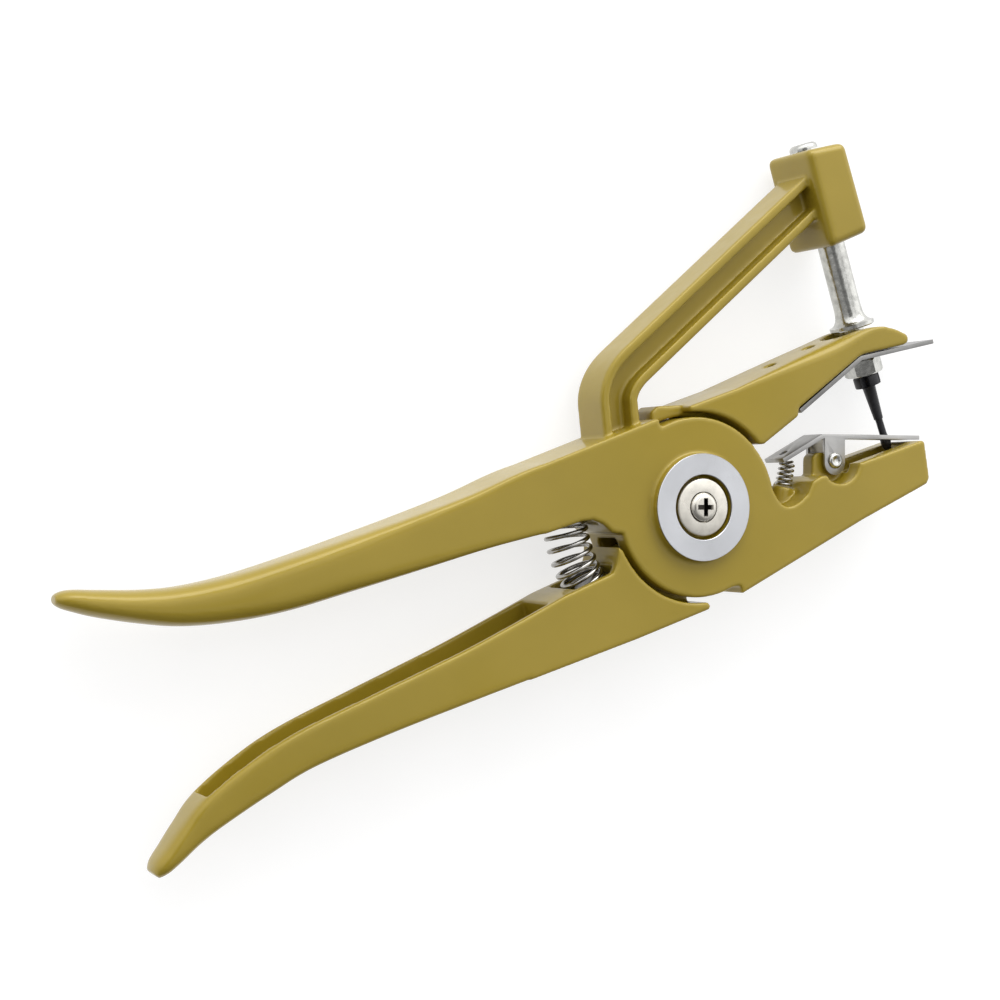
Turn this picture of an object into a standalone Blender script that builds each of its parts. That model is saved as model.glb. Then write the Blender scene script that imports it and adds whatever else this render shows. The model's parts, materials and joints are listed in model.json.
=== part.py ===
"""Ear-tag pliers: a two-casting hand tool with a fixed plunger rod, a sprung lever and a sprung tag clip.

All shapes are laid out in millimetres in the tool's own plane: x runs along the tool towards the jaws,
y from the lower handle to the plunger head, z across the tool, with the pivot axis at x = y = 0 and
z = 0 half way through its width. The finished objects are in metres, lifted so that z = 0 is the
rear face of the pivot, which the tool lies on.
"""

import math

import bpy
from mathutils import Vector

MM = 0.001
GAP = 0.3

# Pivot stack
RING_FACE = 12.6
RING_R = 14.3
RING_T = 0.7
RECESS_R = 8.7
CAP_R = 7.7
CAP_SEAT = 9.6
CAP_TOP = 12.3
PIVOT_SCREW_TOP = 13.5
PIVOT_SCREW_R = 2.0
PIVOT_HEAD_R = 4.0
BODY_HALF = 10.0
SLOT_HALF = 4.8
TONGUE_HALF = 4.0
DISC_R = 24.1
LEVER_ARC_R = 25.6
HUB_R = 14.0
BARREL_R = 5.0
BUSH_R = 6.4
WASHER_R = 12.0

# Plunger: its axis' distance from the pivot and its lean from upright, then the rod, nut and head,
# with the head's corners as distances from the pivot and along the plunger
LEAN = math.radians(17.7)
ROD_N = 69.7
ROD_R = 3.85
ROD_TOP = 74.0
SHANK_R = 3.0
COLLAR_R = 6.35
NUT_R = 5.5
PIN_BORE_R = 1.6

# The needle sits loosely in the rod's end and hangs a little further out than the rod
PIN_SWAY = math.radians(3.0)
PIN_SWAY_S = 20.0
HEAD_CORNERS = [(62.4, 55.2), (76.2, 56.4), (75.7, 82.0), (62.6, 82.8)]
HEAD_HALF = 10.5
HEAD_CLEAR = (50.0, 88.0)
HEAD_SCREW_TOP = 84.6
SLOT_N = (59.4, 75.2)
SLOT_W = 5.8
CLAMP_SCREW_R = 1.95

# Arm from the upper handle to the plunger head
ARM_HALF = 7.0
ARM_H = 5.4
ARM_WEB_HALF = 2.6
ARM_GROOVE_H = 2.9

# Upper jaw: its top line, and its sloping underside that the press plate is screwed to
PLATE_T = 1.2
PLATE_HALF = 9.5
PLATE_PATH = [(32.85, 26.3), (53.1, 41.4), (78.0, 46.95)]
PLATE_SCREWS = [(29.1, 39.0), (42.5, 43.7)]
PLATE_SCREW_R = 1.5

# Tag clip and its rivet in the lower jaw
RIVET = (47.7, 12.95)
RIVET_R = 1.1
CLIP_T = 1.2
CLIP_HALF = 4.6
EAR_T = 1.0
EAR_R = 3.4
EAR_DROP = 0.6
LUG_HALF = 2.6
CLIP_PATH = [(30.6, 12.8), (43.8, 19.75), (76.9, 19.75)]
CLIP_HOLE_R = 2.5
CLIP_SPRING = ((33.5, 5.9), (34.9, 12.6))
CLIP_SPRING_R = (2.1, 1.9)
CLIP_SPRING_WIRE_R = 0.4
CLIP_SEAT_R = 3.4
SCALLOP = (46.0, 12.9)
SCALLOP_R = 6.5
CHANNEL_HALF = 4.6

# Main spring, an arc about the pivot
SPRING_R = 35.5
SPRING_COIL_R = 5.5
SPRING_WIRE_R = 0.6
SPRING_TURNS = 9
SPRING_ARC = (180.9, 217.6)
POCKET_HALF = 7.3
POCKET_R = 6.3

# Lower handle's channel
HANDLE_WALL = 2.1
HANDLE_FLOOR = 3.2

# How far a cutter that goes right through reaches either way
THROUGH = 20.0

GOLD = (0.34, 0.26, 0.055, 1)
NICKEL = (0.62, 0.60, 0.55, 1)
ALUMINIUM = (0.58, 0.60, 0.64, 1)
STEEL = (0.36, 0.37, 0.39, 1)
BLACK = (0.012, 0.013, 0.015, 1)
BRONZE = (0.45, 0.27, 0.10, 1)


def material(name, colour, roughness, metallic):
    made = bpy.data.materials.new(name)
    made.use_nodes = True
    shader = made.node_tree.nodes["Principled BSDF"]
    shader.inputs["Base Color"].default_value = colour
    shader.inputs["Roughness"].default_value = roughness
    shader.inputs["Metallic"].default_value = metallic
    return made


# ---------- points ----------


def polar(r, degrees, centre=(0, 0)):
    a = math.radians(degrees)
    return (centre[0] + r * math.cos(a), centre[1] + r * math.sin(a))


def arc(r, start, end, centre=(0, 0), step=6.0):
    """Points on an arc from start to end degrees, either way round."""
    n = max(2, math.ceil(abs(end - start) / step))
    return [polar(r, start + (end - start) * i / n, centre) for i in range(n + 1)]


def on_rod(n, s):
    """A point by its distance n from the pivot, square to the plunger, and s along the plunger."""
    return (
        n * math.cos(LEAN) - s * math.sin(LEAN),
        n * math.sin(LEAN) + s * math.cos(LEAN),
    )


ROD_UP = Vector((-math.sin(LEAN), math.cos(LEAN), 0))
PIN_UP = Vector((-math.sin(LEAN + PIN_SWAY), math.cos(LEAN + PIN_SWAY), 0))


def pin_foot():
    """Where the needle's own axis starts, as far below its head as the rod's foot is."""
    return Vector((*on_rod(ROD_N, PIN_SWAY_S), 0)) - PIN_UP * PIN_SWAY_S


def offset_strip(path, thickness):
    """The outline of a bent strip: its centreline moved half its thickness either way, mitred."""
    sides = ([], [])
    for i, point in enumerate(path):
        before = Vector(path[max(i - 1, 0)])
        after = Vector(path[min(i + 1, len(path) - 1)])
        here = Vector(point)
        legs = [v.normalized() for v in (here - before, after - here) if v.length > 0]
        mean = sum(legs, Vector((0, 0))).normalized()
        normal = Vector((-mean.y, mean.x)) / mean.dot(legs[0])
        for side, sign in zip(sides, (-1, 1)):
            side.append(tuple(here + normal * sign * thickness / 2))
    return sides[0] + sides[1][::-1]


def smooth(stations, steps):
    """Catmull-Rom values between rows of numbers, so that a few stations give a fair shape."""
    rows = [stations[0]] + stations + [stations[-1]]
    out = []
    for a, b, c, d in zip(rows, rows[1:], rows[2:], rows[3:]):
        for i in range(steps):
            t = i / steps
            row = []
            for p, q, r, s in zip(a, b, c, d):
                square = (2 * p - 5 * q + 4 * r - s) * t * t
                cube = (3 * q - p - 3 * r + s) * t**3
                row.append(0.5 * (2 * q + (r - p) * t + square + cube))
            out.append(tuple(row))
    return out + [tuple(stations[-1])]


def tangents(path):
    """The direction of a path at each of its points."""
    last = len(path) - 1
    found = []
    for i in range(len(path)):
        ahead, behind = path[min(i + 1, last)], path[max(i - 1, 0)]
        found.append(Vector((ahead[0] - behind[0], ahead[1] - behind[1])).normalized())
    return found


# ---------- solids, as (vertices, faces) in millimetres ----------


def prism(outline, low, high):
    """An outline, counter-clockwise seen from +z, from low to high."""
    n = len(outline)
    verts = [(x, y, low) for x, y in outline] + [(x, y, high) for x, y in outline]
    faces = [list(range(n))[::-1], list(range(n, 2 * n))]
    faces += [[i, (i + 1) % n, n + (i + 1) % n, n + i] for i in range(n)]
    return verts, faces


def skin(rings):
    """A closed solid through rings of equal length, each counter-clockwise seen from its far end."""
    n = len(rings[0])
    verts = [p for ring in rings for p in ring]
    faces = [list(range(n))[::-1], list(range(len(verts) - n, len(verts)))]
    for k in range(len(rings) - 1):
        for i in range(n):
            j = (i + 1) % n
            faces.append([k * n + i, k * n + j, (k + 1) * n + j, (k + 1) * n + i])
    return verts, faces


def frame_of(axis):
    """Two unit vectors square to axis, right-handed with it."""
    across = Vector((0, 0, 1)) if abs(axis.z) < 0.9 else Vector((1, 0, 0))
    first = (across - axis * across.dot(axis)).normalized()
    return first, axis.cross(first)


def turned(profile, origin, axis, sides=32):
    """A profile of (radius, height) rows, bottom to top, turned about an axis. Every radius is over 0."""
    axis = Vector(axis).normalized()
    origin = Vector(origin)
    e1, e2 = frame_of(axis)
    angles = [2 * math.pi * i / sides for i in range(sides)]
    rings = []
    for r, h in profile:
        middle = origin + axis * h
        rings.append([tuple(middle + (e1 * math.cos(a) + e2 * math.sin(a)) * r) for a in angles])
    return skin(rings)


def tube(points, radius, sides=6):
    """A round wire along points, its section carried along without twist."""
    points = [Vector(p) for p in points]
    last = len(points) - 1
    angles = [2 * math.pi * k / sides for k in range(sides)]
    rings = []
    across = None
    for i, here in enumerate(points):
        along = (points[min(i + 1, last)] - points[max(i - 1, 0)]).normalized()
        if across is None:
            across = frame_of(along)[0]
        across = (across - along * across.dot(along)).normalized()
        other = along.cross(across)
        rings.append([tuple(here + (across * math.cos(a) + other * math.sin(a)) * radius) for a in angles])
    return skin(rings)


def loft(stations, points=20, steps=3):
    """A bar through stations of (x, y, half height, half width, squareness), sections square to its line."""
    rows = smooth(stations, steps)
    rings = []
    for (x, y, height, width, power), along in zip(rows, tangents(rows)):
        ring = []
        for k in range(points):
            a = 2 * math.pi * (k + 0.5) / points
            c, s = math.cos(a), math.sin(a)
            up = height * math.copysign(abs(c) ** (2 / power), c)
            side = width * math.copysign(abs(s) ** (2 / power), s)
            ring.append((x - along.y * up, y + along.x * up, side))
        rings.append(ring)
    return skin(rings)


# ---------- objects ----------

AXES = {}


def axis_empty(name, point):
    """An empty on a joint's axis, which the pieces that turn about it are parented to."""
    empty = bpy.data.objects.new(name, None)
    empty.location = (point[0] * MM, point[1] * MM, RING_FACE * MM)
    bpy.context.scene.collection.objects.link(empty)
    AXES[name] = (empty, Vector((point[0], point[1], 0)))


def add(name, solid, finish=None, axis="frame_axis"):
    """An object with its origin on the axis it turns about. With no finish it is a cutter or guide."""
    empty, centre = AXES[axis]
    verts, faces = solid
    mesh = bpy.data.meshes.new(name)
    mesh.from_pydata([tuple((Vector(v) - centre) * MM) for v in verts], [], faces)
    mesh.update()
    made = bpy.data.objects.new(name, mesh)
    bpy.context.scene.collection.objects.link(made)
    made.parent = empty
    if finish is None:
        made.hide_render = True
        made.display_type = "WIRE"
    else:
        mesh.materials.append(finish)
        mesh.shade_smooth()
        mesh.set_sharp_from_angle(angle=math.radians(35))
    return made


def combine(target, operation, *solids, axis="frame_axis"):
    """Joins solids to an object, or cuts them out of it, each by a Boolean with a guide of its own."""
    for solid in solids:
        count = len(target.modifiers)
        guide = add(f"{target.name}_guide_{count}", solid, axis=axis)
        step = target.modifiers.new(f"{operation.lower()}_{count}", "BOOLEAN")
        step.operation = operation
        step.object = guide
        step.solver = "EXACT"


def cross_recess(origin, axis, radius, depth):
    """Two crossed bars, to sink in a screw head from its top at origin down along the axis."""
    axis = Vector(axis).normalized()
    origin = Vector(origin)
    e1, e2 = frame_of(axis)
    bars = []
    corners = ((-1, -1), (1, -1), (1, 1), (-1, 1))
    slimness = 0.22
    for long, short in ((e1, e2), (e2, e1)):
        ring = [long * x * radius + short * y * radius * slimness for x, y in corners]
        if long.cross(short).dot(axis) < 0:
            ring.reverse()
        bars.append(skin([[tuple(origin + p + axis * h) for p in ring] for h in (-depth, 0.5)]))
    return bars


def screw(name, finish, top, axis, head_r, head_h, shank_r, length, empty="frame_axis"):
    """A pan head screw with a cross recess; top is the middle of its head's top, axis points out of it."""
    profile = [
        (shank_r, -head_h - length),
        (shank_r, -head_h),
        (head_r, -head_h),
        (head_r, -head_h * 0.45),
        (head_r * 0.8, 0),
    ]
    made = add(name, turned(profile, top, axis), finish, empty)
    combine(made, "DIFFERENCE", *cross_recess(top, axis, head_r * 0.55, head_h * 0.6), axis=empty)
    return made


# ---------- frame casting ----------


def handle_root_and_lower_jaw():
    """The outline of the casting's flat-sided middle: handle root, pivot disc and lower jaw."""
    root = [(-46, -6.9), (-35.2, -3.6), (-32, -3.3), (-29, -4.3), (-26, -6.7), (-23.2, -6.8)]
    jaw = [(13.3, -21.3), (13.8, -23.4), (53.5, -3.6), (75.6, 6.5), (76.5, 8.2), (74.8, 18.2), (74.2, 18.9)]
    trough = [(41.6, 8.75), (39.6, 8.5), (36.9, 7.1), (35.2, 3.6), (32.9, 1.65), (30.8, 0.5), (28.7, 0)]
    return (
        root
        + arc(DISC_R, 197, 297)
        + jaw
        + [(52.6, 12.2)]
        + arc(SCALLOP_R, -5, -125, SCALLOP, 24)
        + trough
        + [(26.6, 0.7), (25.1, 2.5)]
        + arc(DISC_R, 12, 118.5)
        + [(-12.3, 23.6), (-46, 11.2)]
    )


UPPER_HANDLE = [
    (-170.6, -21.5, 1.1, 2.5, 2.0),
    (-169.0, -21.5, 2.0, 3.8, 2.1),
    (-166.0, -21.75, 2.65, 4.7, 2.2),
    (-160.0, -22.6, 3.3, 5.6, 2.3),
    (-150.0, -23.5, 4.05, 6.3, 2.5),
    (-140.0, -23.6, 4.85, 6.9, 2.8),
    (-128.0, -22.1, 5.6, 7.6, 3.2),
    (-115.0, -19.2, 6.2, 8.3, 4.0),
    (-98.0, -14.2, 6.5, 9.1, 5.0),
    (-80.0, -8.7, 6.8, 9.6, 8.0),
    (-64.0, -3.6, 7.3, 9.85, 13.0),
    (-52.0, 0.35, 8.3, 9.95, 20.0),
    (-38.0, 4.6, 8.65, 9.95, 20.0),
]

LOWER_HANDLE = [
    (-146.6, -87.6, 1.3, 3.9, 2.3),
    (-145.1, -85.8, 2.2, 5.5, 2.6),
    (-142.2, -82.7, 2.7, 6.2, 3.0),
    (-138.0, -78.0, 3.35, 6.5, 4.0),
    (-132.3, -72.6, 4.3, 7.0, 6.0),
    (-121.5, -65.25, 4.9, 7.7, 8.0),
    (-110.0, -58.9, 5.05, 8.2, 10.0),
    (-90.1, -51.05, 5.55, 9.0, 13.0),
    (-66.0, -42.15, 6.6, 9.8, 18.0),
    (-50.0, -36.0, 7.65, 9.95, 20.0),
    (-42.0, -32.75, 8.2, 9.95, 20.0),
]


def arm_line():
    """The arm's centreline: up out of the handle, round a bend and straight to the plunger head."""
    foot, bend, turn, straight, end = (-20.8, 14.0), (-22.4, 28.0), (-22.4, 33.2), (-17.0, 37.9), (41.3, 88.2)
    steps = 8
    curve = []
    for i in range(steps + 1):
        t = i / steps
        parts = zip(bend, turn, straight)
        curve.append(tuple((1 - t) ** 2 * a + 2 * t * (1 - t) * b + t * t * c for a, b, c in parts))
    return [foot] + curve + [end]


def arm():
    """A bar of I section along the arm's line, with a groove in each face."""
    h, g, half, web = ARM_H, ARM_GROOVE_H, ARM_HALF, ARM_WEB_HALF
    rear = [(-h, -half), (-g, -half), (-g, -web), (g, -web), (g, -half), (h, -half)]
    section = rear + [(-u, -z) for u, z in rear]
    line = arm_line()
    rings = []
    for (x, y), along in zip(line, tangents(line)):
        rings.append([(x - along.y * u, y + along.x * u, z) for u, z in section])
    return skin(rings)


def spring_pocket(start, end):
    """The polar block that a spring end sinks into, about the pivot."""
    outline = arc(SPRING_R - POCKET_R, end, start) + arc(SPRING_R + POCKET_R, start, end)
    return prism(outline, -POCKET_HALF, POCKET_HALF)


def tongue_room(low_spread, high_spread):
    """The tongue's sectors between the cheeks. Spread by some degrees they give the slot it moves in."""
    reach = LEVER_ARC_R + 2.2
    upper = [(0, 0)] + arc(reach, 44 - low_spread, 93 + high_spread)
    lower = [(0, 0)] + arc(reach, 209 - low_spread, 270 + high_spread)
    return upper, lower


def frame_casting(finish):
    """Upper handle, arm, plunger head, pivot cheeks and lower jaw, cast in one piece."""
    body = add("frame_casting", prism(handle_root_and_lower_jaw(), -BODY_HALF, BODY_HALF), finish)
    across = (0, 0, 1)
    boss_top = RING_FACE - RING_T - GAP
    lug = [(41.6, 2.0), (52.0, 2.0), (51.6, 11.2), (49.8, 14.2), (47.0, 15.2), (43.4, 15.2), (41.6, 13.2)]
    seat_axis = Vector(CLIP_SPRING[1]) - Vector(CLIP_SPRING[0])
    seat_gap = CLIP_SPRING_WIRE_R + GAP
    combine(
        body,
        "UNION",
        loft(UPPER_HANDLE),
        arm(),
        prism([on_rod(*corner) for corner in HEAD_CORNERS], -HEAD_HALF, HEAD_HALF),
        turned([(RING_R, -boss_top), (RING_R, boss_top)], (0, 0, 0), across, 48),
        prism(lug, -LUG_HALF, LUG_HALF),
        turned([(CLIP_SEAT_R, -8), (CLIP_SEAT_R, -seat_gap)], (*CLIP_SPRING[0], 0), (*seat_axis, 0), 20),
    )
    channel = [(52.0, 8.6), (71.5, 12.6), (71.5, 24.0), (52.0, 24.0)]
    hub_room = HUB_R + 1.0
    recess = [(RECESS_R, 0), (RECESS_R, 8)]
    combine(
        body,
        "DIFFERENCE",
        turned([(hub_room, -SLOT_HALF), (hub_room, SLOT_HALF)], (0, 0, 0), across, 48),
        *[prism(sector, -SLOT_HALF, SLOT_HALF) for sector in tongue_room(8.5, 5)],
        spring_pocket(177, 205),
        prism(channel, -CHANNEL_HALF, CHANNEL_HALF),
        turned([(BARREL_R + GAP, -THROUGH), (BARREL_R + GAP, THROUGH)], (0, 0, 0), across),
        *[turned(recess, (0, 0, sign * (CAP_SEAT - GAP)), (0, 0, sign), 48) for sign in (1, -1)],
        rod_bore(ROD_R + GAP, HEAD_CLEAR[0], ROD_TOP + GAP),
        rod_bore(CLAMP_SCREW_R + GAP, ROD_TOP - 2, HEAD_CLEAR[1]),
        turned([(RIVET_R + 0.2, -THROUGH), (RIVET_R + 0.2, THROUGH)], (*RIVET, 0), across, 16),
    )
    return body


def box_outline(n, s):
    """A box square to the plunger, between two distances from the pivot and two along the plunger."""
    return [on_rod(n[0], s[0]), on_rod(n[1], s[0]), on_rod(n[1], s[1]), on_rod(n[0], s[1])]


def rod_bore(radius, low, high):
    """A round cutter about the plunger's axis."""
    return turned([(radius, low), (radius, high)], (*on_rod(ROD_N, 0), 0), ROD_UP, 24)


# ---------- lever casting ----------


def upper_jaw():
    """Heel, sloping underside, nose and top line of the upper jaw."""
    heel_and_underside = [(20.9, 17.1), (31.9, 24.8), (32.3, 27.1), (51.9, 41.5), (54.0, 42.6), (59.1, 43.75)]
    nose = [(67.9, 45.7), (69.1, 46.7), (68.7, 48.6), (65.0, 49.9), (61.0, 50.6), (57.4, 50.3), (53.5, 49.3)]
    top = [(46.0, 46.4), (32.4, 40.7), (12.7, 32.2), (-2.8, 26.9)]
    return heel_and_underside + nose + top + arc(LEVER_ARC_R, 95.5, 41.5)


def lower_handle_head():
    """The lever's outline from its spring pocket to the lip that wraps under the pivot disc."""
    return (
        [(-50, -44.2), (-19.1, -34.8), (3.3, -27.4), (3.9, -26.6)]
        + arc(LEVER_ARC_R, 277, 206.5)
        + [(-24.4, -10.3), (-24.4, -11.7), (-24.9, -14.8), (-26, -17.2), (-40.2, -22.8)]
        + [(-50, -27.6)]
    )


def handle_channel():
    """The trough down the inner side of the lower handle, open towards the upper handle."""
    rows = smooth(LOWER_HANDLE[4:-1] + [(-41.0, -32.4, 8.4, 9.8, 16.0)], 2)
    rings = []
    for (x, y, height, width, _), along in zip(rows, tangents(rows)):
        up = Vector((-along.y, along.x))
        floor = Vector((x, y)) - up * (height - HANDLE_FLOOR)
        roof = Vector((x, y)) + up * (height + 5)
        w = width - HANDLE_WALL
        rings.append([(*floor, -w), (*roof, -w), (*roof, w), (*floor, w)])
    return skin(rings)


def rod_slot(low, high):
    """The slot that the plunger's shank stands in, as the box and the two round ends to cut."""
    n = (SLOT_N[0] + SLOT_W, SLOT_N[1] - SLOT_W)
    rounds = [turned([(SLOT_W, low), (SLOT_W, high)], (*on_rod(c, 0), 0), ROD_UP) for c in n]
    flat_half = SLOT_W - 0.01
    return [prism(box_outline(n, (low, high)), -flat_half, flat_half), *rounds]


def lever_casting(finish):
    """Upper jaw, tongue between the cheeks and lower handle, cast in one piece."""
    lever = "lever_axis"
    across = (0, 0, 1)
    body = add("lever_casting", prism(upper_jaw(), -BODY_HALF, BODY_HALF), finish, lever)
    tail = [(-11.6, 22.7), *arc(DISC_R + 0.4, 116, 78), (6.0, 29.0), (0.0, 27.6), (-9.6, 27.0), (-11.6, 25.4)]
    combine(
        body,
        "UNION",
        prism(tail, -5.0, 5.0),
        turned([(HUB_R, -TONGUE_HALF), (HUB_R, TONGUE_HALF)], (0, 0, 0), across, 48),
        *[prism(sector, -TONGUE_HALF, TONGUE_HALF) for sector in tongue_room(0, 0)],
        prism(lower_handle_head(), -BODY_HALF, BODY_HALF),
        loft(LOWER_HANDLE),
        axis=lever,
    )
    combine(
        body,
        "DIFFERENCE",
        turned([(BUSH_R + GAP, -THROUGH), (BUSH_R + GAP, THROUGH)], (0, 0, 0), across),
        handle_channel(),
        spring_pocket(200, 221.5),
        *rod_slot(18, 36),
        *[plate_screw_hole(x, y) for x, y in PLATE_SCREWS],
        axis=lever,
    )
    return body


def plate_direction():
    """Unit vector square to the press plate's sloping leg, pointing down out of the jaw."""
    (ax, ay), (bx, by) = PLATE_PATH[:2]
    return Vector((by - ay, ax - bx, 0)).normalized()


def plate_screw_hole(x, y):
    radius = PLATE_SCREW_R + GAP
    return turned([(radius, -4), (radius, 18)], (x, y, 0), plate_direction(), 20)


# ---------- small pieces ----------


def press_plate(finish):
    """A bent sheet under the upper jaw, slotted for the plunger, with two screw holes."""
    lever = "lever_axis"
    strip = prism(offset_strip(PLATE_PATH, PLATE_T), -PLATE_HALF, PLATE_HALF)
    plate = add("press_plate", strip, finish, lever)
    holes = [plate_screw_hole(x, y) for x, y in PLATE_SCREWS]
    combine(plate, "DIFFERENCE", *rod_slot(10, 30), *holes, axis=lever)


def plate_screws(finish):
    """Two pan head screws, from under the plate up into holes that come out in the jaw's top."""
    down = plate_direction()
    foot = Vector((*PLATE_PATH[0], 0))
    head_r, head_h, short_of_top = 2.7, 1.4, 1.6
    for number, (x, y) in enumerate(PLATE_SCREWS, 1):
        top = Vector((x, y, 0))
        reach = (foot - top).dot(down) + PLATE_T / 2 + GAP
        seat = top + down * (reach + head_h)
        name = f"plate_screw_{number}"
        screw(name, finish, seat, down, head_r, head_h, PLATE_SCREW_R, reach - short_of_top, "lever_axis")


def tag_clip(finish):
    """A bent sheet: sloping thumb tail, flat front that the tag slides under, and two ears on the rivet."""
    clip = add("tag_clip", prism(offset_strip(CLIP_PATH, CLIP_T), -CLIP_HALF, CLIP_HALF), finish, "clip_axis")
    x, y = RIVET
    flat_y = CLIP_PATH[1][1]
    ear = arc(EAR_R, 180, 360, (x, y - EAR_DROP), 20) + [(x + EAR_R, flat_y), (x - EAR_R, flat_y)]
    for sign in (1, -1):
        low, high = sorted((sign * (CLIP_HALF - EAR_T), sign * CLIP_HALF))
        combine(clip, "UNION", prism(ear, low, high), axis="clip_axis")
    rivet_hole = RIVET_R + 0.25
    pin_x = (pin_foot() - PIN_UP * 1.0).x
    combine(
        clip,
        "DIFFERENCE",
        turned([(rivet_hole, -THROUGH), (rivet_hole, THROUGH)], (*RIVET, 0), (0, 0, 1), 16),
        turned([(CLIP_HOLE_R, -6), (CLIP_HOLE_R, 6)], (pin_x, flat_y, 0), PIN_UP, 24),
        turned([(1.3, -3), (1.3, 3)], (33.9, 14.5, 0), (-0.47, 0.88, 0), 16),
        axis="clip_axis",
    )


def main_spring(finish):
    """A compression spring bent along an arc about the pivot."""
    count = SPRING_TURNS * 14
    points = []
    for i in range(count + 1):
        t = i / count
        turn = 2 * math.pi * SPRING_TURNS * t
        eased = t - 0.06 * math.sin(2 * math.pi * t)
        r = SPRING_R + SPRING_COIL_R * math.cos(turn)
        x, y = polar(r, SPRING_ARC[0] + 1.2 + (SPRING_ARC[1] - SPRING_ARC[0] - 2.4) * eased)
        points.append((x, y, -SPRING_COIL_R * math.sin(turn)))
    add("main_spring", tube(points, SPRING_WIRE_R), finish)


def clip_spring(finish):
    """A small, slightly tapering compression spring from its seat up to the clip's tail."""
    low, high = [Vector((*end, 0)) for end in CLIP_SPRING]
    axis = (high - low).normalized()
    e1, e2 = frame_of(axis)
    turns, count = 5, 70
    points = []
    for i in range(count + 1):
        t = i / count
        turn = 2 * math.pi * turns * t
        r = CLIP_SPRING_R[0] + (CLIP_SPRING_R[1] - CLIP_SPRING_R[0]) * t
        points.append(tuple(low.lerp(high, t) + (e1 * math.cos(turn) + e2 * math.sin(turn)) * r))
    add("clip_spring", tube(points, CLIP_SPRING_WIRE_R), finish)


def spring_stud(name, degrees, toward, finish, axis):
    """A flanged stud that a spring end sits on, its axis along the spring's arc."""
    tangent = Vector((-math.sin(math.radians(degrees)), math.cos(math.radians(degrees)), 0)) * toward
    profile = [(5.9, 0), (5.9, 0.9), (3.6, 0.9), (3.6, 3.6), (2.8, 4.4)]
    add(name, turned(profile, (*polar(SPRING_R, degrees), 0), tangent, 24), finish, axis)


def pivot_stack(nickel, aluminium, bronze, steel):
    """What the two castings turn on: barrel nut, cap, screw, bush, thrust washers and wear rings."""
    up = (0, 0, 1)
    barrel = [(CAP_R, -RING_FACE), (CAP_R, -CAP_SEAT), (BARREL_R, -CAP_SEAT), (BARREL_R, CAP_SEAT - 1.2)]
    made = add("pivot_barrel", turned(barrel, (0, 0, 0), up), nickel)
    hole, sink = PIVOT_SCREW_R + GAP, PIVOT_HEAD_R + GAP
    combine(made, "DIFFERENCE", turned([(hole, -3), (hole, THROUGH)], (0, 0, 0), up))
    disc = [(CAP_R, CAP_SEAT), (CAP_R, CAP_TOP - 0.4), (CAP_R - 0.4, CAP_TOP)]
    cap = add("pivot_cap", turned(disc, (0, 0, 0), up, 48), nickel)
    sunk = [(hole, 0), (hole, 11), (sink, 11.001), (sink, THROUGH)]
    combine(cap, "DIFFERENCE", turned(sunk, (0, 0, 0), up))
    screw("pivot_screw", nickel, (0, 0, PIVOT_SCREW_TOP), up, PIVOT_HEAD_R, 2.2, PIVOT_SCREW_R, 11.5)
    sleeve("pivot_bush", BARREL_R + 0.2, BUSH_R, -3.8, 3.8, bronze, "lever_axis")
    for name, sign in (("front", 1), ("rear", -1)):
        low, high = sorted((sign * (TONGUE_HALF + 0.2), sign * (SLOT_HALF - 0.2)))
        sleeve(f"{name}_thrust_washer", BARREL_R + 0.3, WASHER_R, low, high, steel)
        low, high = sorted((sign * (RING_FACE - RING_T), sign * RING_FACE))
        sleeve(f"{name}_wear_ring", RECESS_R, RING_R, low, high, aluminium)


def sleeve(name, bore, outside, low, high, finish, axis="frame_axis"):
    """A ring about the pivot between two levels."""
    up = (0, 0, 1)
    made = add(name, turned([(outside, low), (outside, high)], (0, 0, 0), up, 48), finish, axis)
    hole = turned([(bore, low - 5), (bore, high + 5)], (0, 0, 0), up, 48)
    combine(made, "DIFFERENCE", hole, axis=axis)


def plunger(nickel, black):
    """The rod clamped in the head by a screw from above, with a lock nut and the needle below the jaw."""
    foot = (*on_rod(ROD_N, 0), 0)
    rod = [
        (SHANK_R, 17.5),
        (SHANK_R, 31.0),
        (COLLAR_R, 31.0),
        (COLLAR_R, 32.1),
        (4.7, 32.9),
        (ROD_R + 0.15, 35.2),
        (ROD_R, 38.0),
        (ROD_R, ROD_TOP),
    ]
    made = add("plunger_rod", turned(rod, foot, ROD_UP), nickel)
    combine(made, "DIFFERENCE", rod_bore(2.25, 62, ROD_TOP + 3), rod_bore(PIN_BORE_R, 10, 24.5))
    screw_top = (*on_rod(ROD_N, HEAD_SCREW_TOP), 0)
    screw("rod_clamp_screw", nickel, screw_top, ROD_UP, 4.0, 1.9, CLAMP_SCREW_R, 14)
    hexagon = [(NUT_R - 0.6, 17.3), (NUT_R, 17.8), (NUT_R, 21.1), (NUT_R - 0.6, 21.6)]
    nut = add("pin_lock_nut", turned(hexagon, foot, ROD_UP, 6), nickel)
    combine(nut, "DIFFERENCE", rod_bore(SHANK_R + 0.2, 10, 30))
    needle = [
        (0.3, -6.2),
        (0.95, -5.4),
        (1.45, -3.6),
        (1.45, -2.6),
        (1.03, -1.0),
        (1.03, 3.5),
        (1.3, 3.85),
        (1.55, 9.0),
        (1.65, 13.9),
        (3.5, 13.9),
        (3.5, 17.0),
        (1.25, 17.0),
        (1.25, 23.5),
    ]
    pin = add("needle_pin", turned(needle, pin_foot(), PIN_UP, 24), black)
    combine(pin, "DIFFERENCE", *flats())


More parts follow.
